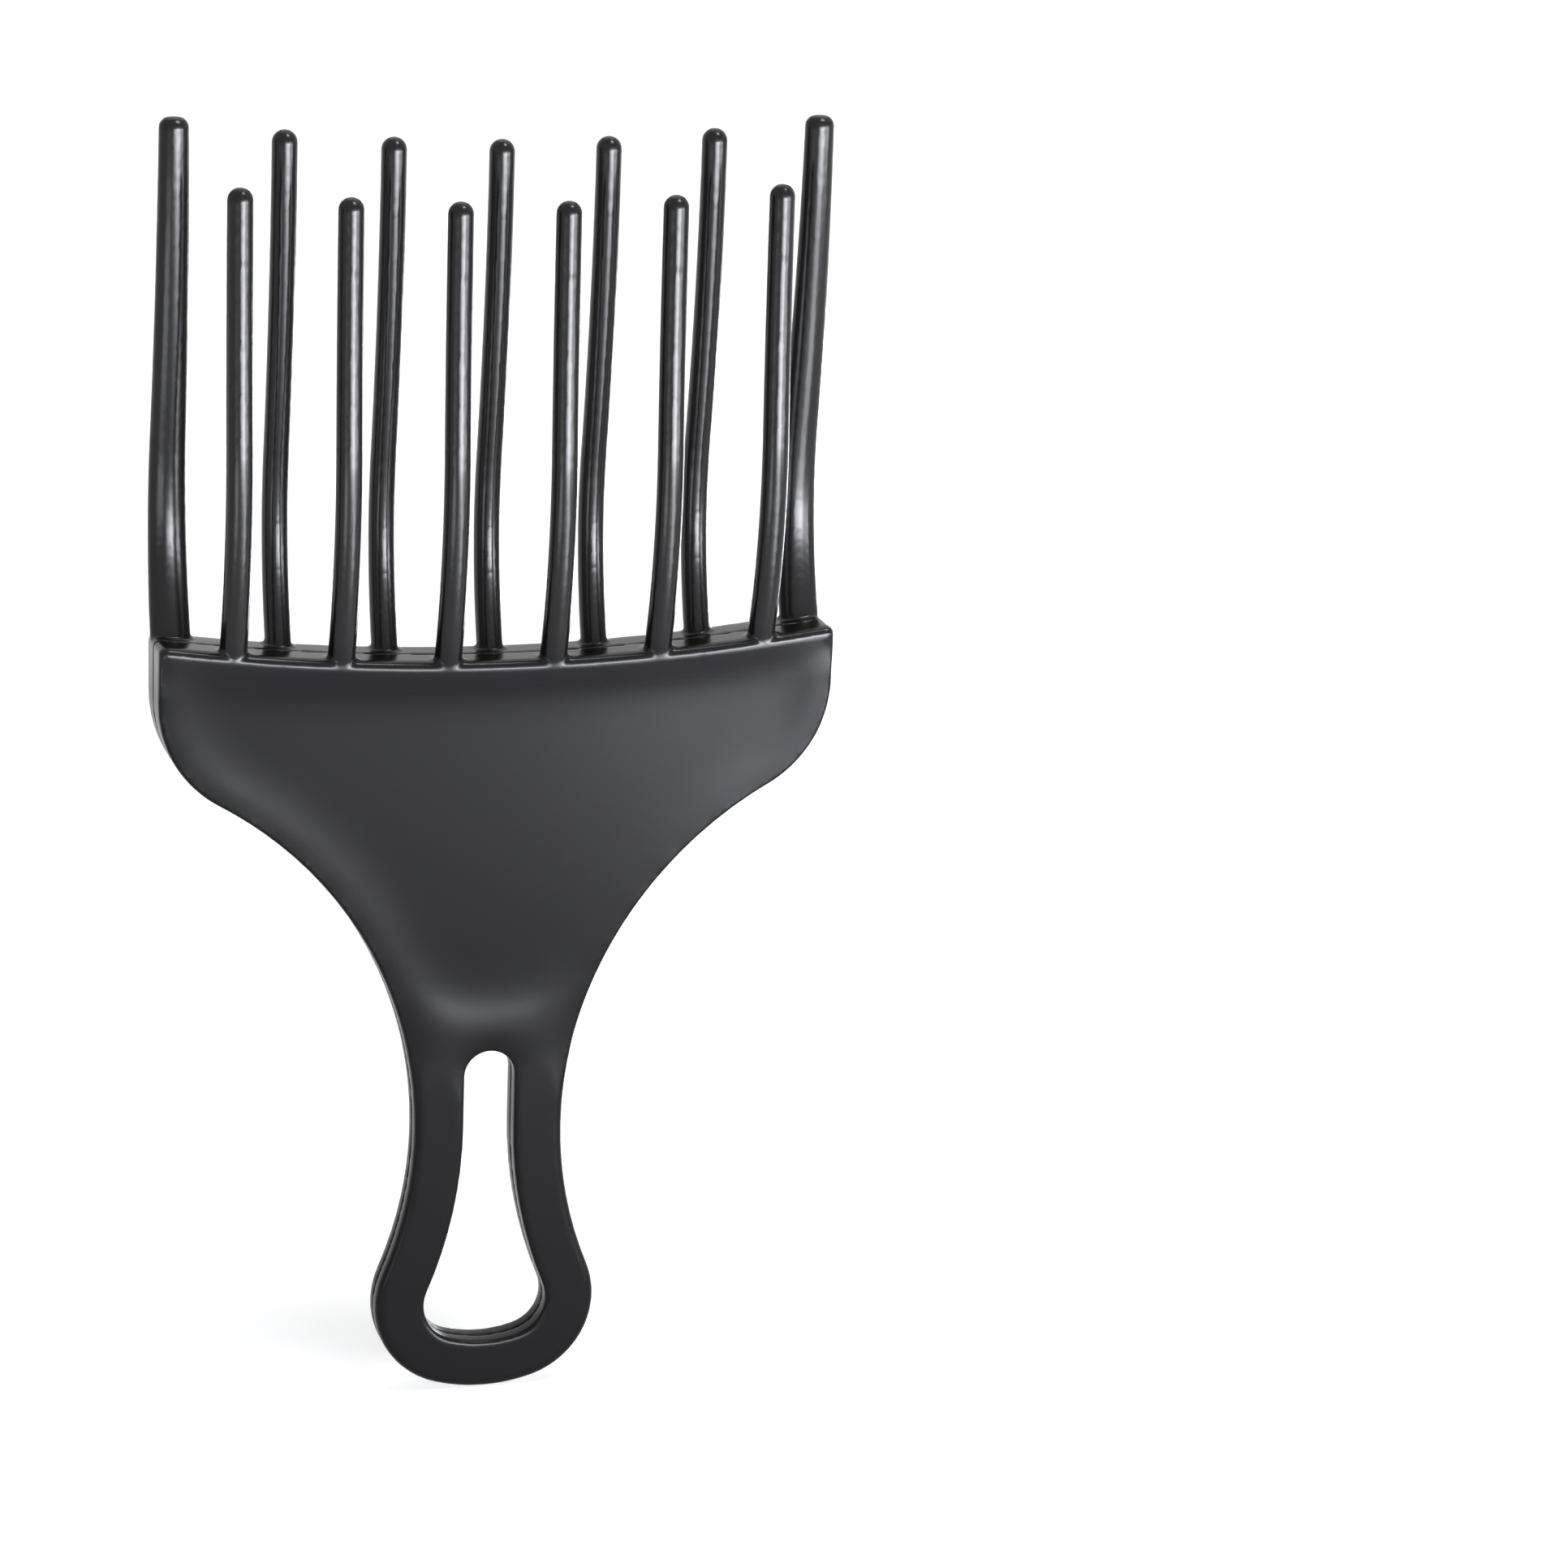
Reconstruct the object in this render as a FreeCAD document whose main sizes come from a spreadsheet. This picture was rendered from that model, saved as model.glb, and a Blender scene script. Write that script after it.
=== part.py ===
"""Two-row afro pick: a front and a rear moulding, meeting at mid thickness and held by two moulded pins.

Millimetres. X is to the right, Y goes from the front face to the back, and Z goes up from the handle to
the teeth. Sketches are drawn from the lowest point of the handle, and the finished pieces are set down so
that the origin lies in the middle of the finger loop, on the seam between the two mouldings.
"""

import FreeCAD, Part
import math
import os

import Sketcher

Vector = FreeCAD.Vector

SIZES = {
    # outline of the head and the neck
    "head_width": 92.0,
    "head_corner_radius": 16.5,
    "flare_radius": 55.0,
    "neck_width": 20.6,
    "neck_height": 38.0,
    "head_side_height": 8.0,
    "tooth_line_radius": 311.0,
    # finger loop
    "bulb_width": 30.8,
    "bulb_side_radius": 12.0,
    "bulb_base_radius": 23.8,
    "loop_bar_width": 6.8,
    "slot_above_neck": 11.0,
    # thickness, both mouldings together
    "handle_thickness": 5.2,
    "head_thickness": 10.2,
    "taper_above_neck": 14.0,
    "taper_blend_radius": 100.0,
    # dished faces
    "dish_rim_width": 1.6,
    "dish_depth": 0.8,
    "dish_slope": 72.0,
    "dish_foot_height": 0.5,
    # rounded edges
    "edge_round": 1.0,
    "slot_round": 0.5,
    # teeth
    "tooth_root_width": 3.7,
    "tooth_tip_width": 3.4,
    "guard_root_width": 5.6,
    "guard_tip_width": 3.9,
    "tooth_root_bury": 2.0,
    "tooth_tip_round": 1.65,
    "guard_tip_round": 1.4,
    "long_tooth_length": 68.6,
    "long_root_depth": 2.2,
    "long_root_lean": 23.5,
    "long_mid_lean": 9.5,
    "long_bend_height": 28.0,
    "short_tooth_length": 61.6,
    "short_root_depth": 2.6,
    "short_root_lean": 20.0,
    "short_mid_lean": 3.5,
    "short_bend_height": 30.5,
    # joining pins
    "pin_diameter": 2.8,
    "pin_clearance": 0.03,
    "pin_side_distance": 9.0,
    "pin_top_distance": 6.5,
    "pin_front_depth": 2.4,
    "pin_rear_depth": 3.5,
}
FRONT = -1
REAR = 1
# places of the teeth, in pitches from the axis; a guard tooth stands on each side of the long row
LONG_PLACES = (-2, -1, 0, 1, 2)
SHORT_PLACES = (-2.5, -1.5, -0.5, 0.5, 1.5, 2.5)
# room beyond the pick for cutting shapes
CLEAR = 10.0
# how near two places are to count as one
NEAR = 0.01

# middle height of the concave tooth line, which follows from the flare, the corner and the straight side
TOOTH_LINE = (
    "({neck_height} + {head_side_height} - {tooth_line_radius}"
    " + sqrt({tooth_line_radius}^2 - {head_width}^2 / 4)"
    " + sqrt(({flare_radius} + {head_corner_radius})^2"
    " - ({neck_width} / 2 + {flare_radius} + {head_corner_radius} - {head_width} / 2)^2))"
)
# lean of the head's faces, which spread from the handle's thickness to the head's
FACE_SLOPE = (
    "atan(({head_thickness} - {handle_thickness}) / 2"
    " / (" + TOOTH_LINE + " - {neck_height} - {taper_above_neck}))"
)
# spacing of one row's teeth: three pitches from the axis reach the middle of a guard tooth
TOOTH_PITCH = "({head_width} - {guard_root_width}) / 6"
# height of the middle of the finger loop, where the origin lies
LOOP_MIDDLE = "({loop_bar_width} + {neck_height} + {slot_above_neck}) / 2"

doc = FreeCAD.newDocument("afro_pick")


def make_sheet():
    """Puts every driving size in a named cell."""
    sheet = doc.addObject("Spreadsheet::Sheet", "sizes")
    for row, (name, value) in enumerate(SIZES.items(), start=1):
        sheet.set(f"A{row}", name)
        sheet.set(f"B{row}", str(value))
        sheet.setAlias(f"B{row}", name)
    doc.recompute()
    return sheet


sheet = make_sheet()


def size(name):
    """The value of one cell."""
    return float(sheet.get(name))


def linked(expression):
    """An expression on cells, with the sheet's name put before each cell's name."""
    return expression.replace("{", "sizes.").replace("}", "")


def bind(thing, prop, expression):
    """Ties one property to cells of the sheet, which the expression names in braces."""
    thing.setExpression(prop, linked(expression))


def tie(sketch, kind, refs, expression):
    """Adds a driving constraint to a sketch, with its drawn value, and ties it to cells of the sheet."""
    if kind == "Radius":
        drawn = sketch.Geometry[refs[0]].Radius
    else:
        span = sketch.getPoint(*refs[2:]) - sketch.getPoint(*refs[:2])
        drawn = span.x if kind == "DistanceX" else span.y
    number = sketch.addConstraint(Sketcher.Constraint(kind, *refs, drawn))
    sketch.renameConstraint(number, f"size_{number}")
    sketch.setExpression(f"Constraints.size_{number}", linked(expression))


# Sketched outlines, symmetric about the vertical axis


class Arc:
    """A round stretch of an outline's right half, from first to last, about its centre."""

    def __init__(self, centre, first, last, turns_left):
        self.centre = centre
        self.first = first
        self.last = last
        self.turns_left = turns_left

    def mirrored(self):
        flip = lambda p: (-p[0], p[1])
        return Arc(flip(self.centre), flip(self.first), flip(self.last), not self.turns_left)

    def add_to(self, sketch):
        """Adds the arc and returns its number and which of its ends is first and which is last."""
        angle = lambda p: math.atan2(p[1] - self.centre[1], p[0] - self.centre[0])
        radius = math.dist(self.centre, self.first)
        circle = Part.Circle(Vector(*self.centre, 0), Vector(0, 0, 1), radius)
        if self.turns_left:
            number = sketch.addGeometry(Part.ArcOfCircle(circle, angle(self.first), angle(self.last)))
            return number, 1, 2
        number = sketch.addGeometry(Part.ArcOfCircle(circle, angle(self.last), angle(self.first)))
        return number, 2, 1


class Line:
    """A straight stretch of an outline's right half."""

    def __init__(self, first, last):
        self.first = first
        self.last = last

    def mirrored(self):
        return Line((-self.first[0], self.first[1]), (-self.last[0], self.last[1]))

    def add_to(self, sketch):
        number = sketch.addGeometry(Part.LineSegment(Vector(*self.first, 0), Vector(*self.last, 0)))
        return number, 1, 2


def symmetric_outline(sketch, half, corners=()):
    """Draws a closed outline from its right half, listed from the bottom of the axis to its top.

    Stretches run smoothly into each other, except after those whose places are in corners.
    Returns the numbers of the right half's stretches.
    """
    right = [piece.add_to(sketch) for piece in half]
    left = [piece.mirrored().add_to(sketch) for piece in half]
    join = lambda kind, *refs: sketch.addConstraint(Sketcher.Constraint(kind, *refs))
    for place in range(len(half) - 1):
        here, after = right[place], right[place + 1]
        kind = "Coincident" if place in corners else "Tangent"
        join(kind, here[0], here[2], after[0], after[1])
        join("Coincident", left[place][0], left[place][2], left[place + 1][0], left[place + 1][1])
        join("Symmetric", here[0], here[2], left[place][0], left[place][2], -2)
    for piece, one, other in zip(half, right, left):
        if isinstance(piece, Arc):
            join("Equal", one[0], other[0])
    for end, pos in ((0, 1), (-1, 2)):
        join("PointOnObject", right[end][0], right[end][pos], -2)
        join("PointOnObject", right[end][0], 3, -2)
        join("Coincident", right[end][0], right[end][pos], left[end][0], left[end][pos])
    return [number for number, _, _ in right]


def between(one, other, share):
    """The point that lies a share of the way from one point to another."""
    return tuple(a + (b - a) * share for a, b in zip(one, other))


def towards(centre, point, radius):
    """The point at a radius from a centre, on the side of another point."""
    return between(centre, point, radius / math.dist(centre, point))


def flare_centre():
    """Centre of the concave arc between the neck and the head."""
    return (size("neck_width") / 2 + size("flare_radius"), size("neck_height"))


def corner_centre():
    """Centre of the round corner between the flare and the head's straight side."""
    flare = flare_centre()
    reach = size("flare_radius") + size("head_corner_radius")
    across = size("head_width") / 2 - size("head_corner_radius")
    return (across, flare[1] + math.sqrt(reach**2 - (flare[0] - across) ** 2))


def tooth_line_centre():
    """Centre of the concave tooth line, which lies above the teeth."""
    radius = size("tooth_line_radius")
    side_top = corner_centre()[1] + size("head_side_height")
    return (0.0, side_top + math.sqrt(radius**2 - (size("head_width") / 2) ** 2))


def head_stretches(inset, first, base):
    """The flare, corner, side and tooth line of an outline that lies inset within the head's.

    Heights are counted from a base, and first is where the flare begins.
    """
    lower = lambda point: (point[0], point[1] - base)
    flare = lower(flare_centre())
    corner = lower(corner_centre())
    over = lower(tooth_line_centre())
    meet = towards(flare, corner, size("flare_radius") + inset)
    side = (size("head_width") / 2 - inset, corner[1])
    top_radius = size("tooth_line_radius") + inset
    top = (side[0], over[1] - math.sqrt(top_radius**2 - side[0] ** 2))
    return [
        Arc(flare, first, meet, False),
        Arc(corner, meet, side, True),
        Line(side, top),
        Arc(over, top, (0.0, over[1] - top_radius), False),
    ]


def size_head_stretches(sketch, numbers, inset, base):
    """Ties the sizes of the corner, side and tooth line of an outline inset within the head's."""
    _, corner, side, top = numbers
    sketch.addConstraint(Sketcher.Constraint("Vertical", side))
    tie(sketch, "Radius", (corner,), "{head_corner_radius} - " + inset)
    tie(sketch, "DistanceX", (-1, 1, side, 1), "{head_width} / 2 - " + inset)
    tie(sketch, "Radius", (top,), "{tooth_line_radius} + " + inset)
    tie(sketch, "DistanceY", (-1, 1, top, 1), TOOTH_LINE + " - " + inset + " - " + base)


def loop_stretches(inset):
    """The bottom, the bulb's side and the lower flank of the loop, inset within its outside."""
    side_radius = size("bulb_side_radius")
    base = (0.0, size("bulb_base_radius"))
    across = size("bulb_width") / 2 - side_radius
    bulb = (across, base[1] - math.sqrt((base[1] - side_radius) ** 2 - across**2))
    rise = size("neck_height") - bulb[1]
    run = size("neck_width") / 2 - across
    flank_radius = (run**2 + rise**2 - side_radius**2) / (2 * (side_radius - run))
    flank = (size("neck_width") / 2 + flank_radius, size("neck_height"))
    low = between(base, bulb, (base[1] - inset) / math.dist(base, bulb))
    high = towards(bulb, flank, side_radius - inset)
    return [
        Arc(base, (0.0, inset), low, True),
        Arc(bulb, low, high, True),
        Arc(flank, high, (size("neck_width") / 2 - inset, size("neck_height")), False),
    ]


def size_loop_stretches(sketch, numbers, inset):
    """Ties the sizes of the loop's outside, or of the slot that lies inset within it."""
    bottom, bulb, flank = numbers
    tie(sketch, "Radius", (bottom,), "{bulb_base_radius} - " + inset)
    tie(sketch, "DistanceX", (-1, 1, bulb, 3), "{bulb_width} / 2 - {bulb_side_radius}")
    tie(sketch, "Radius", (bulb,), "{bulb_side_radius} - " + inset)
    tie(sketch, "DistanceX", (-1, 1, flank, 1), "{neck_width} / 2 - " + inset)
    tie(sketch, "DistanceY", (-1, 1, flank, 1), "{neck_height}")
    return bottom


def plane(body, role):
    """One of a body's own origin planes."""
    return next(part for part in body.Origin.OriginFeatures if part.Role == role)


def new_sketch(body, name, role):
    """An empty sketch on one of a body's origin planes."""
    sketch = body.newObject("Sketcher::SketchObject", name)
    sketch.AttachmentSupport = [(plane(body, role), "")]
    sketch.MapMode = "FlatFace"
    return sketch


def draw_plate(sketch):
    """The whole outline: bulb, neck, flared head and concave tooth line."""
    neck = (size("neck_width") / 2, size("neck_height"))
    half = loop_stretches(0.0) + head_stretches(0.0, neck, 0.0)
    numbers = symmetric_outline(sketch, half, corners=(len(half) - 2,))
    bottom = size_loop_stretches(sketch, numbers[:3], "0")
    sketch.addConstraint(Sketcher.Constraint("PointOnObject", bottom, 1, -1))
    sketch.addConstraint(Sketcher.Constraint("Horizontal", numbers[2], 3, numbers[2], 1))
    tie(sketch, "Radius", (numbers[3],), "{flare_radius}")
    size_head_stretches(sketch, numbers[3:], "0", "0")


def draw_slot(sketch):
    """The finger slot: the loop's outside moved in by the bar's width, with a round top."""
    bar = size("loop_bar_width")
    half_width = size("neck_width") / 2 - bar
    neck = (half_width, size("neck_height"))
    top = size("neck_height") + size("slot_above_neck")
    shoulder = (half_width, top - half_width)
    crown = Arc((0.0, shoulder[1]), shoulder, (0.0, top), True)
    numbers = symmetric_outline(sketch, loop_stretches(bar) + [Line(neck, shoulder), crown])
    bottom = size_loop_stretches(sketch, numbers[:3], "{loop_bar_width}")
    tie(sketch, "DistanceY", (-1, 1, bottom, 1), "{loop_bar_width}")
    sketch.addConstraint(Sketcher.Constraint("Vertical", numbers[3]))
    tie(sketch, "DistanceY", (-1, 1, numbers[4], 2), "{neck_height} + {slot_above_neck}")


def draw_dish(sketch):
    """The dish's edge, inset within the head and closed by a round end above the slot.

    Its heights are counted from the start of the taper, where the sloping face begins.
    """
    rim = size("dish_rim_width")
    base = size("neck_height") + size("taper_above_neck")
    low = size("dish_foot_height")
    flare = (flare_centre()[0], flare_centre()[1] - base)
    flare_radius = size("flare_radius") + rim
    drop = low - flare[1]
    end_radius = (flare[0] ** 2 + drop**2 - flare_radius**2) / (2 * (flare_radius - drop))
    centre = (0.0, low + end_radius)
    meet = towards(centre, flare, end_radius)
    half = [Arc(centre, (0.0, low), meet, True)] + head_stretches(rim, meet, base)
    numbers = symmetric_outline(sketch, half, corners=(len(half) - 2,))
    tie(sketch, "DistanceY", (-1, 1, numbers[0], 1), "{dish_foot_height}")
    tie(sketch, "DistanceX", (-1, 1, numbers[1], 3), "{neck_width} / 2 + {flare_radius}")
    tie(sketch, "DistanceY", (numbers[1], 3, -1, 1), "{taper_above_neck}")
    tie(sketch, "Radius", (numbers[1],), "{flare_radius} + {dish_rim_width}")
    size_head_stretches(sketch, numbers[1:], "{dish_rim_width}", "({neck_height} + {taper_above_neck})")


def draw_taper(sketch, side):
    """The room in front of one face: flat along the handle, then sloping outwards up the head."""
    flat = side * size("handle_thickness") / 2
    thick = side * size("head_thickness") / 2
    far = side * (size("head_thickness") + CLEAR)
    start = size("neck_height") + size("taper_above_neck")
    line_height = tooth_line_centre()[1] - size("tooth_line_radius")
    top = line_height + CLEAR
    slope = (thick - flat) / (line_height - start)
    lean = math.atan(abs(slope))
    radius = size("taper_blend_radius")
    reach = radius * math.tan(lean / 2)
    centre = (flat + side * radius, start - reach)
    leave = (flat + slope * reach * math.cos(lean), start + reach * math.cos(lean))
    beyond = (flat + slope * (top - start), top)
    add = lambda first, last: Line(first, last).add_to(sketch)[0]
    handle_face = add((flat, -CLEAR), (flat, start - reach))
    blend, blend_first, blend_last = Arc(centre, (flat, start - reach), leave, side < 0).add_to(sketch)
    head_face = add(leave, beyond)
    upper = add(beyond, (far, top))
    outer = add((far, top), (far, -CLEAR))
    lower = add((far, -CLEAR), (flat, -CLEAR))
    join = lambda kind, *refs: sketch.addConstraint(Sketcher.Constraint(kind, *refs))
    join("Tangent", handle_face, 2, blend, blend_first)
    join("Tangent", blend, blend_last, head_face, 1)
    for one, after in ((head_face, upper), (upper, outer), (outer, lower), (lower, handle_face)):
        join("Coincident", one, 2, after, 1)
    join("Vertical", handle_face)
    join("Vertical", outer)
    join("Horizontal", upper)
    join("Horizontal", lower)
    bend = sketch.addGeometry(Part.Point(Vector(flat, start, 0)))
    edge = sketch.addGeometry(Part.Point(Vector(thick, line_height, 0)))
    join("PointOnObject", bend, 1, handle_face)
    join("PointOnObject", bend, 1, head_face)
    join("PointOnObject", edge, 1, head_face)
    out = lambda number, pos: (-1, 1, number, pos) if side > 0 else (number, pos, -1, 1)
    tie(sketch, "Radius", (blend,), "{taper_blend_radius}")
    tie(sketch, "DistanceX", out(handle_face, 1), "{handle_thickness} / 2")
    tie(sketch, "DistanceX", out(edge, 1), "{head_thickness} / 2")
    tie(sketch, "DistanceX", out(outer, 1), "{head_thickness} + " + str(CLEAR))
    tie(sketch, "DistanceY", (handle_face, 1, -1, 1), str(CLEAR))
    tie(sketch, "DistanceY", (-1, 1, bend, 1), "{neck_height} + {taper_above_neck}")
    tie(sketch, "DistanceY", (-1, 1, edge, 1), TOOTH_LINE)
    tie(sketch, "DistanceY", (-1, 1, upper, 1), TOOTH_LINE + " + " + str(CLEAR))


def draw_pin_bores(sketch):
    """The two round bores for the joining pins, near the head's upper corners."""
    height = tooth_line_centre()[1] - size("tooth_line_radius") - size("pin_top_distance")
    across = size("head_width") / 2 - size("pin_side_distance")
    radius = size("pin_diameter") / 2 + size("pin_clearance")
    bores = []
    for x in (across, -across):
        circle = Part.Circle(Vector(x, height, 0), Vector(0, 0, 1), radius)
        bores.append(sketch.addGeometry(circle))
    sketch.addConstraint(Sketcher.Constraint("Symmetric", bores[0], 3, bores[1], 3, -2))
    sketch.addConstraint(Sketcher.Constraint("Equal", bores[0], bores[1]))
    tie(sketch, "Radius", (bores[0],), "{pin_diameter} / 2 + {pin_clearance}")
    tie(sketch, "DistanceX", (-1, 1, bores[0], 3), "{head_width} / 2 - {pin_side_distance}")
    tie(sketch, "DistanceY", (-1, 1, bores[0], 3), TOOTH_LINE + " - {pin_top_distance}")


# The two mouldings' heads, each with its half of the handle


def edges_along(shape, outline):
    """Names of the face edges of a shape that run along an outline drawn on the seam."""
    found = []
    for place, edge in enumerate(shape.Edges, start=1):
        first, last = edge.ParameterRange
        points = [edge.valueAt(first + (last - first) * share) for share in (0.1, 0.5, 0.9)]
        on_seam = all(abs(point.y) < NEAR for point in points)
        through = edge.BoundBox.YLength > edge.BoundBox.XLength + edge.BoundBox.ZLength
        flat = [Part.Vertex(point.x, 0, point.z) for point in points]
        if on_seam or through:
            continue
        if all(outline.distToShape(point)[0] < NEAR for point in flat):
            found.append(f"Edge{place}")
    return found


def round_edges(body, name, names, cell):
    """Rounds edges of a body's latest feature with a radius from the sheet."""
    base = body.Tip
    fillet = body.newObject("PartDesign::Fillet", name)
    fillet.Base = (base, names)
    bind(fillet, "Radius", "{" + cell + "}")
    doc.recompute()


def pocket(body, name, sketch, side):
    """A pocket that goes into one moulding from a sketch that faces the front."""
    cut = body.newObject("PartDesign::Pocket", name)
    cut.Profile = sketch
    cut.Reversed = side < 0
    return cut


def make_head(name, side):
    """One moulding without its teeth: head, neck and half of the finger loop."""
    body = doc.addObject("PartDesign::Body", f"{name}_head")

    outline = new_sketch(body, f"{name}_outline", "XZ_Plane")
    draw_plate(outline)
    blank = body.newObject("PartDesign::Pad", f"{name}_blank")
    blank.Profile = outline
    blank.Reversed = side > 0
    bind(blank, "Length", "{head_thickness}")

    taper = new_sketch(body, f"{name}_taper_line", "YZ_Plane")
    draw_taper(taper, side)
    face = body.newObject("PartDesign::Pocket", f"{name}_face")
    face.Profile = taper
    face.SideType = "Symmetric"
    bind(face, "Length", "{head_width} * 2")

    slot = new_sketch(body, f"{name}_slot_outline", "XZ_Plane")
    draw_slot(slot)
    slot_cut = pocket(body, f"{name}_slot", slot, side)
    slot_cut.Type = "ThroughAll"

    dish = new_sketch(body, f"{name}_dish_outline", "XZ_Plane")
    draw_dish(dish)
    dish.AttachmentOffset = FreeCAD.Placement(Vector(0, 0, 0), FreeCAD.Rotation(Vector(-side, 0, 0), 1))
    bind(dish, "AttachmentOffset.Base.y", "{neck_height} + {taper_above_neck}")
    bind(dish, "AttachmentOffset.Base.z", f"{-side} * " + "{handle_thickness} / 2")
    bind(dish, "AttachmentOffset.Rotation.Angle", FACE_SLOPE)
    dish_cut = pocket(body, f"{name}_dish", dish, -side)
    bind(dish_cut, "Length", "{dish_depth}")
    bind(dish_cut, "TaperAngle", "-{dish_slope}")
    doc.recompute()

    shape = body.Tip.Shape
    corners = [
        f"Edge{place}"
        for place, edge in enumerate(shape.Edges, start=1)
        if edge.BoundBox.XLength + edge.BoundBox.ZLength < NEAR
        and edge.CenterOfMass.z > corner_centre()[1] + NEAR
        and abs(edge.CenterOfMass.x) > size("head_width") / 2 - NEAR
    ]
    round_edges(body, f"{name}_corners", corners, "edge_round")
    round_edges(body, f"{name}_rim", edges_along(body.Tip.Shape, outline.Shape), "edge_round")
    round_edges(body, f"{name}_slot_rim", edges_along(body.Tip.Shape, slot.Shape), "slot_round")

    bores = new_sketch(body, f"{name}_pin_bore_outline", "XZ_Plane")
    draw_pin_bores(bores)
    bore_cut = pocket(body, f"{name}_pin_bores", bores, side)
    if side < 0:
        bind(bore_cut, "Length", "{pin_front_depth} + {pin_clearance}")
    else:
        bore_cut.Type = "ThroughAll"
    doc.recompute()
    return body


# Teeth, each a round bar swept up a double bend, with a rounded tip


def tooth_terms(row):
    """Expressions for the bend of one row's teeth: its two radii, its rise and how far its tip goes."""
    root = "{" + row + "_root_lean}"
    middle = "{" + row + "_mid_lean}"
    bend = "{" + row + "_bend_height}"
    rise = "({" + row + "_tooth_length} + {tooth_root_bury})"
    lower = f"({bend} / (sin({root}) + sin({middle})))"
    upper = f"(({rise} - {bend}) / sin({middle}))"
    reach = f"({lower} * (cos({middle}) - cos({root})) - {upper} * (1 - cos({middle})))"
    return lower, upper, rise, reach


def draw_bend(sketch, row, side):
    """The centre line of a tooth: away from the seam, then back towards it, and upright at the tip."""
    root = math.radians(size(f"{row}_root_lean"))
    middle = math.radians(size(f"{row}_mid_lean"))
    bend = size(f"{row}_bend_height")
    rise = size(f"{row}_tooth_length") + size("tooth_root_bury")
    lower = bend / (math.sin(root) + math.sin(middle))
    upper = (rise - bend) / math.sin(middle)
    inner = (-side * lower * math.cos(root), lower * math.sin(root))
    turn = (inner[0] + side * lower * math.cos(middle), bend)
    outer = (turn[0] + side * upper * math.cos(middle), rise)
    low, low_first, low_last = Arc(inner, (0.0, 0.0), turn, side > 0).add_to(sketch)
    high, high_first, high_last = Arc(outer, turn, (outer[0] - side * upper, rise), side < 0).add_to(sketch)
    sketch.addConstraint(Sketcher.Constraint("Coincident", low, low_first, -1, 1))
    sketch.addConstraint(Sketcher.Constraint("Tangent", low, low_last, high, high_first))
    sketch.addConstraint(Sketcher.Constraint("Horizontal", high, 3, high, high_last))
    lower_term, upper_term, rise_term, _ = tooth_terms(row)
    tie(sketch, "Radius", (low,), lower_term)
    tie(sketch, "Radius", (high,), upper_term)
    tie(sketch, "DistanceY", (-1, 1, low, low_last), "{" + row + "_bend_height}")
    tie(sketch, "DistanceY", (-1, 1, high, high_last), rise_term)


def put(thing, x, y, z):
    """Ties a thing's place to the sheet."""
    for axis, expression in zip("xyz", (x, y, z)):
        bind(thing, f"Placement.Base.{axis}", expression)


def make_tooth(name, row, side, x, root_width, tip_width, tip_round):
    """One tooth: its bend, its sections at root and tip, the bar swept along them and the rounded tip."""
    _, _, rise, reach = tooth_terms(row)
    depth = f"{side} * " + "{" + row + "_root_depth}"
    line = TOOTH_LINE + " + {tooth_line_radius} - sqrt({tooth_line_radius}^2 - (" + x + ")^2)"
    foot = line + " - {tooth_root_bury}"

    bend = doc.addObject("Sketcher::SketchObject", f"{name}_bend")
    draw_bend(bend, row, side)
    upright = FreeCAD.Rotation(Vector(0, 1, 0), Vector(0, 0, 1), Vector(1, 0, 0), "ZXY")
    bend.Placement = FreeCAD.Placement(Vector(0, 0, 0), upright)
    put(bend, x, depth, foot)

    root = doc.addObject("Part::Ellipse", f"{name}_root")
    root.Placement = FreeCAD.Placement(Vector(0, 0, 0), FreeCAD.Rotation(Vector(-side, 0, 0), 1))
    bind(root, "Placement.Rotation.Angle", "{" + row + "_root_lean}")
    bind(root, "MajorRadius", root_width + " / 2")
    bind(root, "MinorRadius", "{tooth_root_width} / 2")
    put(root, x, depth, foot)

    tip = doc.addObject("Part::Ellipse", f"{name}_tip")
    bind(tip, "MajorRadius", tip_width + " / 2")
    bind(tip, "MinorRadius", "{tooth_tip_width} / 2")
    put(tip, x, depth + f" + {side} * " + reach, foot + " + " + rise)

    bar = doc.addObject("Part::Sweep", f"{name}_bar")
    bar.Sections = [root, tip]
    bar.Spine = (bend, ["Edge1", "Edge2"])
    bar.Solid = True
    doc.recompute()

    top = max(edge.BoundBox.ZMin for edge in bar.Shape.Edges)
    rounds = [
        (place, size(tip_round), size(tip_round))
        for place, edge in enumerate(bar.Shape.Edges, start=1)
        if edge.BoundBox.ZMin > top - NEAR
    ]
    tooth = doc.addObject("Part::Fillet", name)
    tooth.Base = bar
    tooth.Edges = rounds
    return tooth


def make_row(row, side, places):
    """The plain teeth of one row."""
    teeth = []
    for number, place in enumerate(places, start=1):
        x = f"{place} * " + TOOTH_PITCH
        form = ("{tooth_root_width}", "{tooth_tip_width}", "tooth_tip_round")
        teeth.append(make_tooth(f"{row}_tooth_{number}", row, side, x, *form))
    return teeth


def make_guards():
    """The wider outermost teeth of the long row, with roots flush with the sides of the head."""
    teeth = []
    for name, sign in (("left", -1), ("right", 1)):
        x = f"{sign} * " + "({head_width} - {guard_root_width}) / 2"
        form = ("{guard_root_width}", "{guard_tip_width}", "guard_tip_round")
        teeth.append(make_tooth(f"{name}_guard_tooth", "long", REAR, x, *form))
    return teeth


# The finished pieces, set down with the origin in the middle of the finger loop


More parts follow.
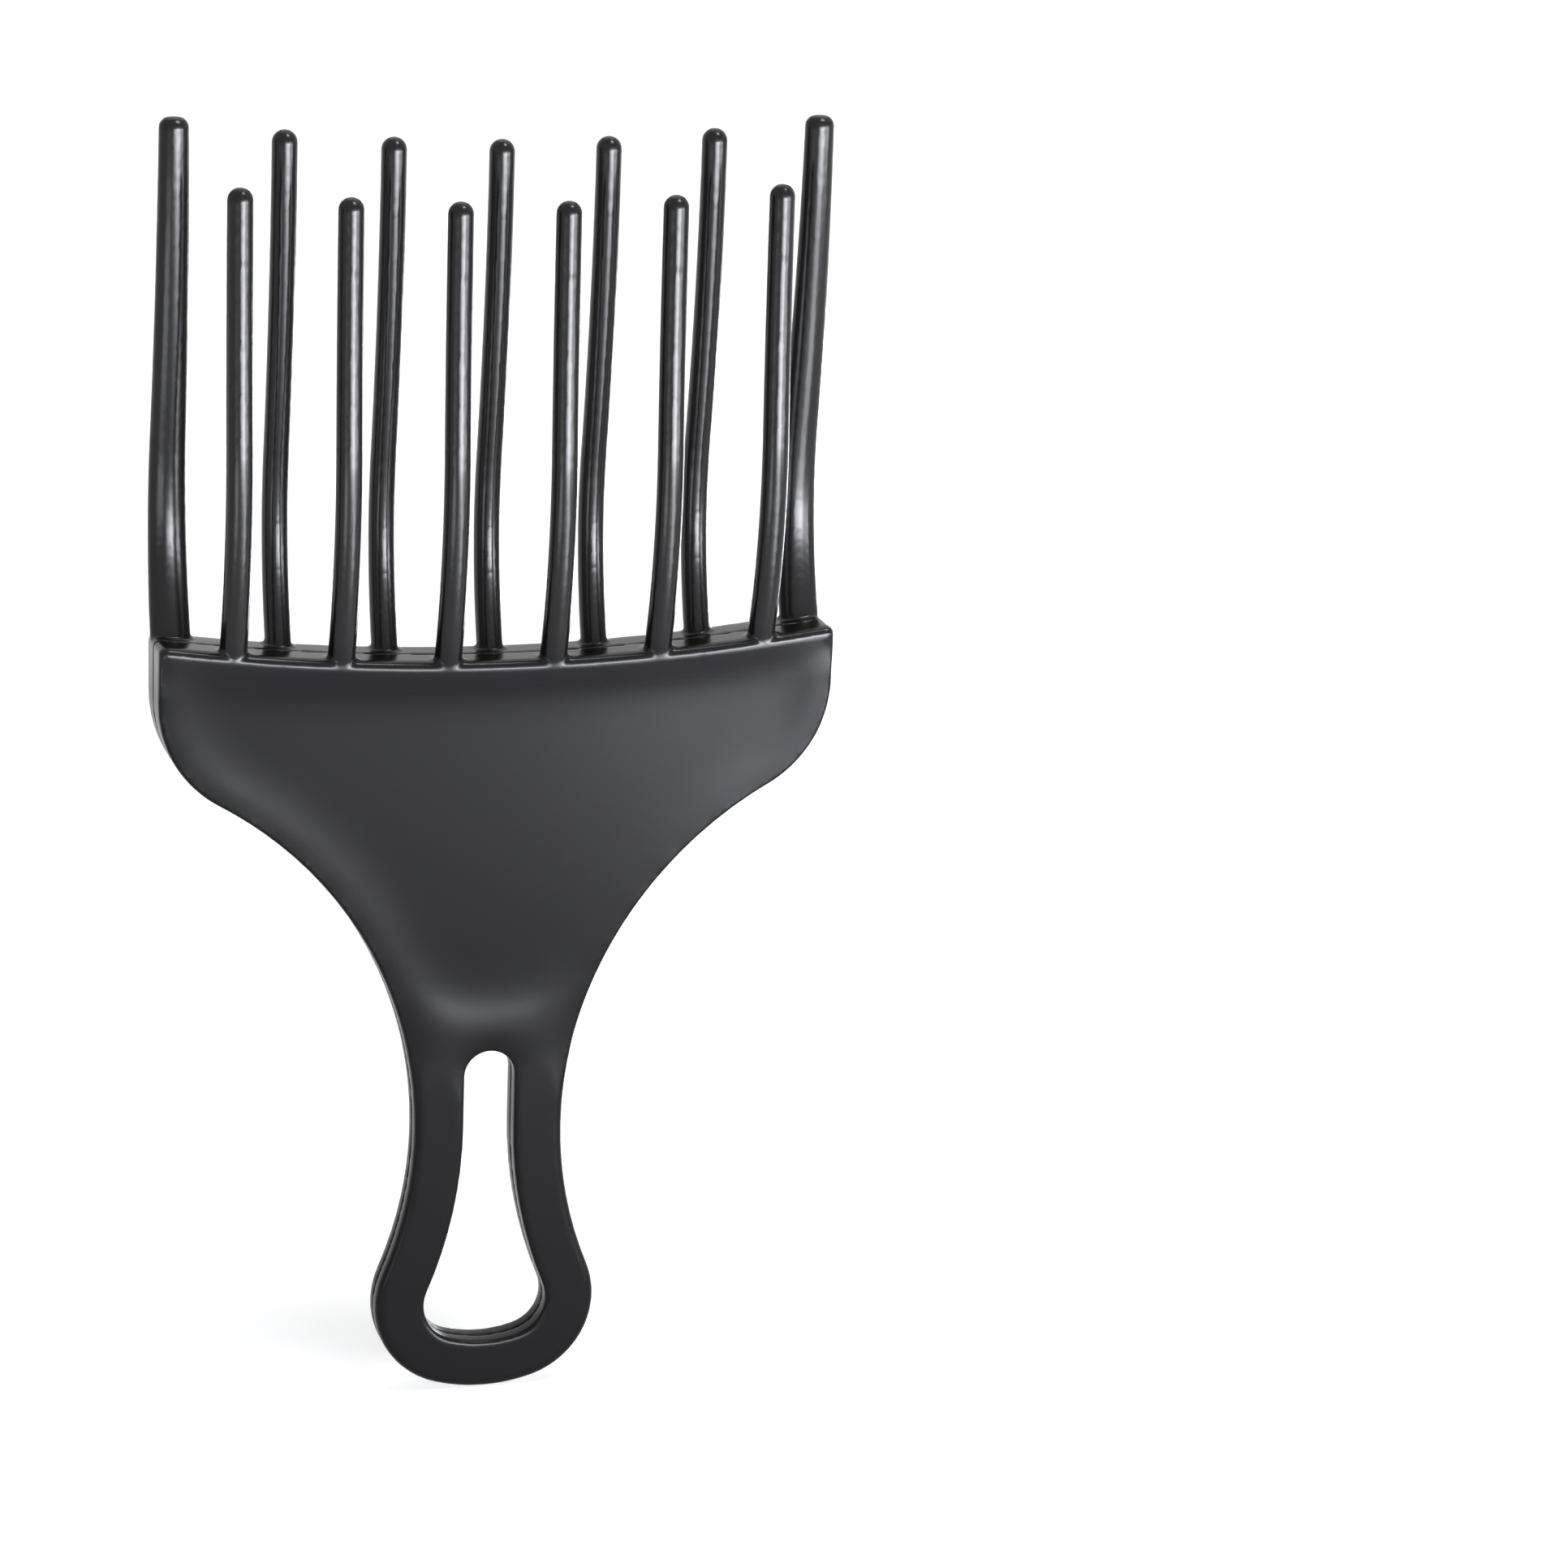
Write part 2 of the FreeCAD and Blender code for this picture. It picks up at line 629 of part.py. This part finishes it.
def make_half(name, side, teeth):
    """One moulding: its head and its row of teeth in one solid."""
    half = doc.addObject("Part::MultiFuse", name)
    half.Label = name
    half.Shapes = [make_head(name, side)] + teeth
    half.Refine = True
    bind(half, "Placement.Base.z", "-" + LOOP_MIDDLE)
    return half


def make_pin(name, sign):
    """One moulded pin, from its blind end in the front moulding to the back of the rear one."""
    pin = doc.addObject("Part::Cylinder", name)
    pin.Label = name
    pin.Placement = FreeCAD.Placement(Vector(0, 0, 0), FreeCAD.Rotation(Vector(-1, 0, 0), 90))
    bind(pin, "Radius", "{pin_diameter} / 2")
    bind(pin, "Height", "{pin_front_depth} + {pin_rear_depth}")
    height = TOOTH_LINE + " - {pin_top_distance} - " + LOOP_MIDDLE
    across = f"{sign} * " + "({head_width} / 2 - {pin_side_distance})"
    put(pin, across, "-{pin_front_depth}", height)
    return pin


pieces = [
    make_half("front_half", FRONT, make_row("short", FRONT, SHORT_PLACES)),
    make_half("rear_half", REAR, make_row("long", REAR, LONG_PLACES) + make_guards()),
    make_pin("left_joining_pin", -1),
    make_pin("right_joining_pin", 1),
]
doc.recompute()

for thing in doc.Objects:
    if "Invalid" in thing.State or "Error" in thing.State:
        raise RuntimeError(f"{thing.Label} didn't build: {thing.State}")
for piece in pieces:
    if piece.Shape.isNull() or not piece.Shape.isValid():
        raise RuntimeError(f"{piece.Label} has no valid shape")

os.makedirs("parts", exist_ok=True)
for piece in pieces:
    piece.Shape.exportStep(f"parts/{piece.Label}.step")
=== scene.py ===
# %% [markdown]
# # A black two-row afro pick
#
# The pick is two plastic mouldings, a front one with the short teeth and a rear one with the long teeth,
# laid back to back and held by two small pins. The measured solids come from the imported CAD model, and
# this lesson gives them the soft edges, the finish, the light and the camera of a product photograph.

# %% Load the measured pick
import math

import bpy
import numpy as np
from mathutils import Matrix, Vector


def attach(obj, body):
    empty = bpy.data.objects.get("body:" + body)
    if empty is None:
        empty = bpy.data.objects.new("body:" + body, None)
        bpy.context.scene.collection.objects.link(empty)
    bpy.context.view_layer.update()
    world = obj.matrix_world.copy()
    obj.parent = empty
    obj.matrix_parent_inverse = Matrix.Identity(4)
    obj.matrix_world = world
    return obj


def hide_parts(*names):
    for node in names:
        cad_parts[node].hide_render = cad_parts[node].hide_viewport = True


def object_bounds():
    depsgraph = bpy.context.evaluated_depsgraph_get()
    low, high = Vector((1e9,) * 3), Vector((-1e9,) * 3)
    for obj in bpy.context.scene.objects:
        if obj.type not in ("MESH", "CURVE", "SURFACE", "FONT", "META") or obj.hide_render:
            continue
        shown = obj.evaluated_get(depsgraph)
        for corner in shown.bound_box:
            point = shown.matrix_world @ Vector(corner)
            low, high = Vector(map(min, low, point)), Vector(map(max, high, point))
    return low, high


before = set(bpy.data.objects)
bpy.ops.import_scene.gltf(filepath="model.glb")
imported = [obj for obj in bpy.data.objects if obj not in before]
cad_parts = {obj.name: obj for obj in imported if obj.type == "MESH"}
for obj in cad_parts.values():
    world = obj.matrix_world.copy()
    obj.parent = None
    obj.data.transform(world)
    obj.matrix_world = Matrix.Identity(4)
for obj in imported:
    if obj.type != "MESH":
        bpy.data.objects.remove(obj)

MM = 0.001
cad_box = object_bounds()
FLOOR = cad_box[0][2]
MIDDLE = (Vector(cad_box[0]) + Vector(cad_box[1])) / 2
scene = bpy.context.scene
scene.view_settings.view_transform = "Standard"
print("nodes:", sorted(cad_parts))

# %% [markdown]
# ## An even grid
#
# A mould never gives a perfectly sharp edge: every crease of the tool is polished, and plastic shrinks a
# little as it cools. The solids have crisp lines where the dished face meets its rim and where each tooth
# leaves the head. A bevel would need those lines picked by hand, so each moulding is softened by relaxing
# its points instead. That needs points everywhere, so a copy of each solid is first resampled on a fine,
# even grid.

# %% Copy each moulding on an even grid
GRID = 0.3 * MM


def bake(piece):
    """Puts a piece's modifiers into its mesh."""
    made = piece.evaluated_get(bpy.context.evaluated_depsgraph_get())
    mesh = bpy.data.meshes.new_from_object(made)
    piece.modifiers.clear()
    piece.vertex_groups.clear()
    piece.data = mesh


def gridded(node_name, piece_name):
    """A copy of a CAD moulding whose points lie on an even grid."""
    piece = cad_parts[node_name].copy()
    piece.data = piece.data.copy()
    piece.name = piece_name
    scene.collection.objects.link(piece)
    grid = piece.modifiers.new("even grid", "REMESH")
    grid.mode = "VOXEL"
    grid.voxel_size = GRID
    bake(piece)
    print(piece_name, len(piece.data.polygons), "faces")
    return piece


front = gridded("front_half", "front_moulding")
rear = gridded("rear_half", "rear_moulding")

# %% [markdown]
# ## Where to soften
#
# The teeth are round bars, the edges of the head and the roots of the teeth are slightly rounded, and the
# dish of each broad face runs into its rim in one long, soft slope. One smoothing for all would thin the
# teeth or leave the dish crisp, so each point gets a weight for the head and one for the broad face. Weights
# can be painted by hand, but worked out from place and direction they follow the measured shape. They fade
# out, so that no step shows where the smoothing ends.

# %% Weigh the points
# the concave tooth line's middle, the dish's lower end and the top of the slot, above the foot of the handle
TOOTH_LINE = FLOOR + 104.5 * MM
DISH_FOOT = FLOOR + 54 * MM
SLOT_TOP = FLOOR + 49 * MM
TOOTH_LINE_RADIUS = 311 * MM
# how far the softening reaches up the roots, stays clear of the tooth line and spreads round the dish's foot
ROOT_REACH = 4 * MM
FACE_MARGIN = 1.2 * MM
FOOT_HEIGHT = 5 * MM
FOOT_REACH = 8 * MM
FACE_FADE = 8 * MM
SHORT_FADE = 2 * MM
# a point lies on the broad face by the share of its direction that points straight out of it
FACE_TURN = (0.65, 0.9)


def ramp(values, start, end):
    """Zero before the start, one after the end and a straight slope between."""
    return np.clip((values - start) / (end - start), 0, 1)


def points_of(mesh):
    """The places and the directions of a mesh's points, as rows of x, y and z."""
    places = np.empty(len(mesh.vertices) * 3, np.float32)
    mesh.vertices.foreach_get("co", places)
    turns = np.empty(len(mesh.vertices) * 3, np.float32)
    mesh.vertex_normals.foreach_get("vector", turns)
    return places.reshape(-1, 3), turns.reshape(-1, 3)


def soft_weights(piece):
    """How far each point belongs to the head, and to the broad face with the foot of its dish."""
    places, turns = points_of(piece.data)
    across, height = np.abs(places[:, 0]), places[:, 2]
    line = TOOTH_LINE + TOOTH_LINE_RADIUS - np.sqrt(TOOTH_LINE_RADIUS**2 - across**2)
    side = np.sign(places[:, 1].mean())
    head = ramp(line + ROOT_REACH - height, 0, SHORT_FADE)
    face = ramp(turns[:, 1] * side, *FACE_TURN) * ramp(line - FACE_MARGIN - height, 0, FACE_MARGIN)
    face *= ramp(height, SLOT_TOP - FACE_FADE, SLOT_TOP)
    foot = ramp(FOOT_REACH - across, 0, SHORT_FADE)
    foot *= ramp(FOOT_HEIGHT - np.abs(height - DISH_FOOT), 0, SHORT_FADE)
    foot *= places[:, 1] * side > FACE_MARGIN
    return head, np.maximum(face, foot)


weights = {piece.name: soft_weights(piece) for piece in (front, rear)}
for name, (head, face) in weights.items():
    print(name, "has", int(head.sum()), "head points and", int(face.sum()), "broad face points")

# %% [markdown]
# ## Relaxing
#
# Each round of a smooth modifier moves a point toward the middle of its neighbours. That alone thins round
# teeth, so over the whole moulding each round is followed by one that swells it back, which only irons out
# the grid. A few plain rounds then go over the head, and many over the broad face. The soft copy stands for
# the CAD moulding from here on.

# %% Relax each moulding
RELAX_SHARE = 0.5
SWELL_SHARE = 0.48
IRON_ROUNDS = 8
HEAD_ROUNDS = 5
FACE_ROUNDS = 700
WEIGHT_STEPS = 100
WEIGHT_POWER = 3


def relax(piece, rounds, share=RELAX_SHARE, amounts=None):
    """Adds a smoothing modifier to a piece, for all of it or with an amount for each of its points."""
    modifier = piece.modifiers.new("relax", "SMOOTH")
    modifier.factor = share
    modifier.iterations = rounds
    if amounts is not None:
        group = piece.vertex_groups.new(name="relaxed")
        # a small amount that works in every round adds up, so the power keeps the fade soft
        steps = np.rint(amounts**WEIGHT_POWER * WEIGHT_STEPS)
        for step in range(1, WEIGHT_STEPS + 1):
            group.add(np.flatnonzero(steps == step).tolist(), step / WEIGHT_STEPS, "REPLACE")
        modifier.vertex_group = group.name


def soften(piece, head, face):
    """Irons a moulding, then melts the creases of its head and the slope of its dish."""
    for _ in range(IRON_ROUNDS):
        relax(piece, 1)
        relax(piece, 1, -SWELL_SHARE)
    relax(piece, HEAD_ROUNDS, amounts=head)
    relax(piece, FACE_ROUNDS, amounts=face)
    bake(piece)
    piece.data.shade_smooth()


for piece, node_name in ((front, "front_half"), (rear, "rear_half")):
    soften(piece, *weights[piece.name])
    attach(piece, "root")
    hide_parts(node_name)
    print(piece.name, "stands for", node_name)

# %% [markdown]
# ## Colours and nodes
#
# Colours are written as the sRGB hex values that a paint chart gives, and one function turns them into the
# linear values that the shader works with. One more function adds a node, sets it up and links it.

# %% Helpers for colours and nodes


def linear(hex_colour):
    """An sRGB hex colour as the linear red, green, blue and alpha of a shader socket, by the sRGB curve."""
    parts = [int(hex_colour[place:place + 2], 16) / 255 for place in (1, 3, 5)]
    return [p / 12.92 if p <= 0.04045 else ((p + 0.055) / 1.055) ** 2.4 for p in parts] + [1.0]


def add(tree, kind, values=None, links=None, **settings):
    """Adds one node to a tree, with its settings, the values of its sockets and the links into them."""
    node = tree.nodes.new(kind)
    for name, value in settings.items():
        setattr(node, name, value)
    for socket, value in (values or {}).items():
        node.inputs[socket].default_value = value
    for socket, source in (links or {}).items():
        tree.links.new(source, node.inputs[socket])
    return node


def new_material(name):
    """An empty node material and its tree."""
    material = bpy.data.materials.new(name)
    material.use_nodes = True
    material.node_tree.nodes.clear()
    return material, material.node_tree


print("a mid grey, #808080, is", round(linear("#808080")[0], 3), "in linear light")

# %% [markdown]
# ## Black polystyrene
#
# Picks are moulded in tough black polystyrene. The mould is finely blasted where it makes the broad faces,
# which gives them a satin, charcoal look, and polished along the teeth, so that they slide through hair.
# The base colour is nearly black all over. What the eye reads as grey is the pale room mirrored in the
# surface. So the two finishes share one colour and differ in how they mirror: the teeth more, and sharper.

# %% The moulded material
MOULDED_BLACK = "#0a0a0b"
FINISH_BLEND = 4 * MM
# polystyrene's own IOR is near 1.59, and the blasted mould dulls it, so it is set lower to match the pick
POLYSTYRENE_IOR = 1.5
FACE_ROUGHNESS, TOOTH_ROUGHNESS = 0.25, 0.22
FACE_MIRROR, TOOTH_MIRROR = 0.1, 0.25
# a blasted grain is finer than this, which is as coarse as it needs to be to show
GRAIN = 0.5 * MM
GRAIN_DEPTH = 0.004 * MM
GRAIN_DETAIL = 1.0
GRAIN_STRENGTH = 0.15


def black_polystyrene():
    """Satin on the head and handle, polished on the teeth."""
    material, tree = new_material("black moulded polystyrene")
    place = add(tree, "ShaderNodeTexCoord")
    height = add(tree, "ShaderNodeSeparateXYZ", links={"Vector": place.outputs["Object"]})
    finish = {}
    for socket, on_face, on_tooth in (
        ("Roughness", FACE_ROUGHNESS, TOOTH_ROUGHNESS),
        ("Specular IOR Level", FACE_MIRROR, TOOTH_MIRROR),
    ):
        blend = add(
            tree, "ShaderNodeMapRange",
            {"From Min": TOOTH_LINE - FINISH_BLEND, "From Max": TOOTH_LINE + FINISH_BLEND,
             "To Min": on_face, "To Max": on_tooth},
            {"Value": height.outputs["Z"]},
        )
        finish[socket] = blend.outputs["Result"]
    grain = add(
        tree, "ShaderNodeTexNoise", {"Scale": 1 / GRAIN, "Detail": GRAIN_DETAIL},
        {"Vector": place.outputs["Object"]},
    )
    blasted = add(
        tree, "ShaderNodeBump", {"Strength": GRAIN_STRENGTH, "Distance": GRAIN_DEPTH},
        {"Height": grain.outputs["Fac"]},
    )
    surface = add(
        tree, "ShaderNodeBsdfPrincipled",
        {"Base Color": linear(MOULDED_BLACK), "IOR": POLYSTYRENE_IOR},
        {**finish, "Normal": blasted.outputs["Normal"]},
    )
    add(tree, "ShaderNodeOutputMaterial", links={"Surface": surface.outputs["BSDF"]})
    return material


moulded = black_polystyrene()
for piece in (front, rear):
    piece.data.materials.clear()
    piece.data.materials.append(moulded)
print("moulded material on", front.name, "and", rear.name)

# %% [markdown]
# ## Pin ends
#
# The joining pins are the same plastic, but cut off and left matt, so their round ends just show at the back
# of the head. The solids already have that shape and only need a paler, rougher finish.

# %% Matt pins
CUT_BLACK = "#121213"
PIN_ROUGHNESS = 0.6


def matt_pin():
    """Cut polystyrene, a little paler and duller than the moulded face."""
    material, tree = new_material("matt cut polystyrene")
    surface = add(
        tree, "ShaderNodeBsdfPrincipled",
        {"Base Color": linear(CUT_BLACK), "Roughness": PIN_ROUGHNESS, "IOR": POLYSTYRENE_IOR},
    )
    add(tree, "ShaderNodeOutputMaterial", links={"Surface": surface.outputs["BSDF"]})
    return material


cut = matt_pin()
pins = [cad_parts[name] for name in ("left_joining_pin", "right_joining_pin")]
for pin in pins:
    pin.data.materials.clear()
    pin.data.materials.append(cut)
print("matt pins:", len(pins))

# %% [markdown]
# ## White table
#
# The pick stands on a white table. A white picture could come from stronger lamps, but they would wash out
# the black. So part of the table's white is a glow of its own, more of it further away where the lamps don't
# reach, and the rest is lamplight on white laminate, so that a faint shadow stays under the handle. The glow
# is there for the camera and for what the pick mirrors, and it lights nothing else.

# %% The table
LAMINATE_WHITE = "#e8e8e8"
WHITE = "#ffffff"
TABLE_SIZE = 12.0
NEAR_TABLE = 0.2
FAR_TABLE = 0.8
NEAR_GLOW = 0.62
FULL_WHITE = 1.0


def shows_background(tree):
    """One for rays from the camera and rays that are mirrored or let through, and zero for others."""
    rays = add(tree, "ShaderNodeLightPath")
    shown = rays.outputs["Is Camera Ray"]
    for kind in ("Is Glossy Ray", "Is Transmission Ray"):
        either = add(tree, "ShaderNodeMath", {}, {0: shown, 1: rays.outputs[kind]}, operation="MAXIMUM")
        shown = either.outputs["Value"]
    return shown


def white_table():
    """White laminate that glows to the camera and still takes a shadow."""
    material, tree = new_material("white laminate")
    paint = add(tree, "ShaderNodeBsdfDiffuse", {"Color": linear(LAMINATE_WHITE)})
    place = add(tree, "ShaderNodeTexCoord")
    away = add(tree, "ShaderNodeVectorMath", {}, {0: place.outputs["Object"]}, operation="LENGTH")
    strength = add(
        tree, "ShaderNodeMapRange",
        {"From Min": NEAR_TABLE, "From Max": FAR_TABLE, "To Min": NEAR_GLOW, "To Max": FULL_WHITE},
        {"Value": away.outputs["Value"]},
    )
    glow = add(tree, "ShaderNodeEmission", {"Color": linear(WHITE)}, {"Strength": strength.outputs["Result"]})
    lit = add(tree, "ShaderNodeAddShader", links={0: paint.outputs["BSDF"], 1: glow.outputs["Emission"]})
    seen = add(
        tree, "ShaderNodeMixShader",
        links={0: shows_background(tree), 1: paint.outputs["BSDF"], 2: lit.outputs["Shader"]},
    )
    add(tree, "ShaderNodeOutputMaterial", links={"Surface": seen.outputs["Shader"]})
    return material


bpy.ops.mesh.primitive_plane_add(size=TABLE_SIZE, location=(0, 0, FLOOR))
table = bpy.context.object
table.name = "white_table"
table.data.materials.append(white_table())
print("table at", round(FLOOR, 4))

# %% [markdown]
# ## White room
#
# Behind the table the room is plain white, to the camera and in the pick's reflections. As a lamp it is kept
# dim, so that the lamps below shape the plastic.

# %% The room
ROOM_LIGHT = 0.1

world = bpy.data.worlds.new("white room")
scene.world = world
world.use_nodes = True
room = world.node_tree
room.nodes.clear()
dim = add(room, "ShaderNodeBackground", {"Color": linear(WHITE), "Strength": ROOM_LIGHT})
white = add(room, "ShaderNodeBackground", {"Color": linear(WHITE), "Strength": FULL_WHITE})
shown = add(
    room, "ShaderNodeMixShader",
    links={0: shows_background(room), 1: dim.outputs["Background"], 2: white.outputs["Background"]},
)
add(room, "ShaderNodeOutputWorld", links={"Surface": shown.outputs["Shader"]})
print("room light", ROOM_LIGHT)

# %% [markdown]
# ## Lamps
#
# Black plastic shows little but what it mirrors, so it is lit with soft lamps and with pale cards that it can
# mirror. Two lamps above give the even light, the faint shadow and the line along the top edge. The broad
# face leans a little down, so it mirrors the table in front of it, and three low cards there draw the soft
# patch of light on the right of the face and the slope of its rim. Two long boards further off draw the
# streak on each round tooth. A card on the left and one behind do the same for whoever walks round the pick.
# Cards and boards are area lamps that the camera doesn't see.

# %% Soft boxes, cards and boards
CARD_HEIGHT = FLOOR + 20 * MM
BOARD_HEIGHT = FLOOR + 90 * MM
CARD_WHITE = "#f6f8ff"


def soft_lamp(name, place, size, watts, colour=CARD_WHITE):
    """An area lamp at a place, with its width and height, in metres, that faces the middle of the pick."""
    data = bpy.data.lights.new(name, "AREA")
    data.shape = "RECTANGLE"
    data.size, data.size_y = size
    data.energy = watts
    data.color = linear(colour)[:3]
    lamp = bpy.data.objects.new(name, data)
    lamp.location = place
    lamp.rotation_euler = (MIDDLE - Vector(place)).to_track_quat("-Z", "Y").to_euler()
    lamp.visible_camera = False
    scene.collection.objects.link(lamp)
    return lamp


lamps = [
    soft_lamp("overhead soft box", place=(0.35, -0.25, 1.1), size=(0.25, 0.25), watts=5.0, colour=WHITE),
    soft_lamp("rear soft box", place=(0.2, 0.5, 1.0), size=(0.9, 0.9), watts=2.0, colour=WHITE),
    soft_lamp("near card", place=(0.12, -0.20, CARD_HEIGHT), size=(0.1, 0.1), watts=0.42),
    soft_lamp("middle card", place=(0.04, -0.20, CARD_HEIGHT), size=(0.1, 0.1), watts=0.05),
    soft_lamp("front card", place=(0.15, -0.42, CARD_HEIGHT), size=(0.2, 0.2), watts=1.5),
    soft_lamp("right board", place=(0.6, -0.8, BOARD_HEIGHT), size=(0.9, 0.16), watts=10.0),
    soft_lamp("front board", place=(0.25, -0.95, BOARD_HEIGHT), size=(0.6, 0.16), watts=10.0),
    soft_lamp("left card", place=(-0.2, -0.25, CARD_HEIGHT), size=(0.15, 0.15), watts=0.4),
    soft_lamp("back card", place=(0.2, 0.22, CARD_HEIGHT), size=(0.15, 0.15), watts=0.6),
]
print("lamps:", len(lamps))

# %% [markdown]
# ## Camera
#
# The camera was placed by matching the outline, the slot and the tooth tips: a long lens from a little to the
# left and above, turned slightly, with the pick left of the middle of a square frame.

# %% Place the camera
FRAME_PIXELS = 1932
SENSOR = 36.0
LENS_PIXELS = 6062.6
AZIMUTH = math.radians(-16.88)
ELEVATION = math.radians(15.27)
ROLL = math.radians(2.16)
DISTANCE = 670.4 * MM
# a point on the neck's axis, above the foot of the handle, and the pixel at which it shows
NECK_POINT = Vector((0, 0, FLOOR + 60 * MM))
NECK_PIXEL = (601.66, 1194.65)

back = Vector((
    math.sin(AZIMUTH) * math.cos(ELEVATION), -math.cos(AZIMUTH) * math.cos(ELEVATION), math.sin(ELEVATION),
))
level = Vector((math.cos(AZIMUTH), math.sin(AZIMUTH), 0))
upright = back.cross(level)
right = level * math.cos(ROLL) + upright * math.sin(ROLL)
up = upright * math.cos(ROLL) - level * math.sin(ROLL)
across = (NECK_PIXEL[0] - FRAME_PIXELS / 2) / LENS_PIXELS * DISTANCE
above = -(NECK_PIXEL[1] - FRAME_PIXELS / 2) / LENS_PIXELS * DISTANCE
spot = NECK_POINT + back * DISTANCE - right * across - up * above

camera_data = bpy.data.cameras.new("camera")
camera_data.sensor_width = SENSOR
camera_data.lens = LENS_PIXELS / FRAME_PIXELS * SENSOR
camera = bpy.data.objects.new("camera", camera_data)
turn = Matrix((right, up, back)).transposed().to_4x4()
camera.matrix_world = Matrix.Translation(spot) @ turn
scene.collection.objects.link(camera)
scene.camera = camera
print("camera at", [round(value, 3) for value in spot])
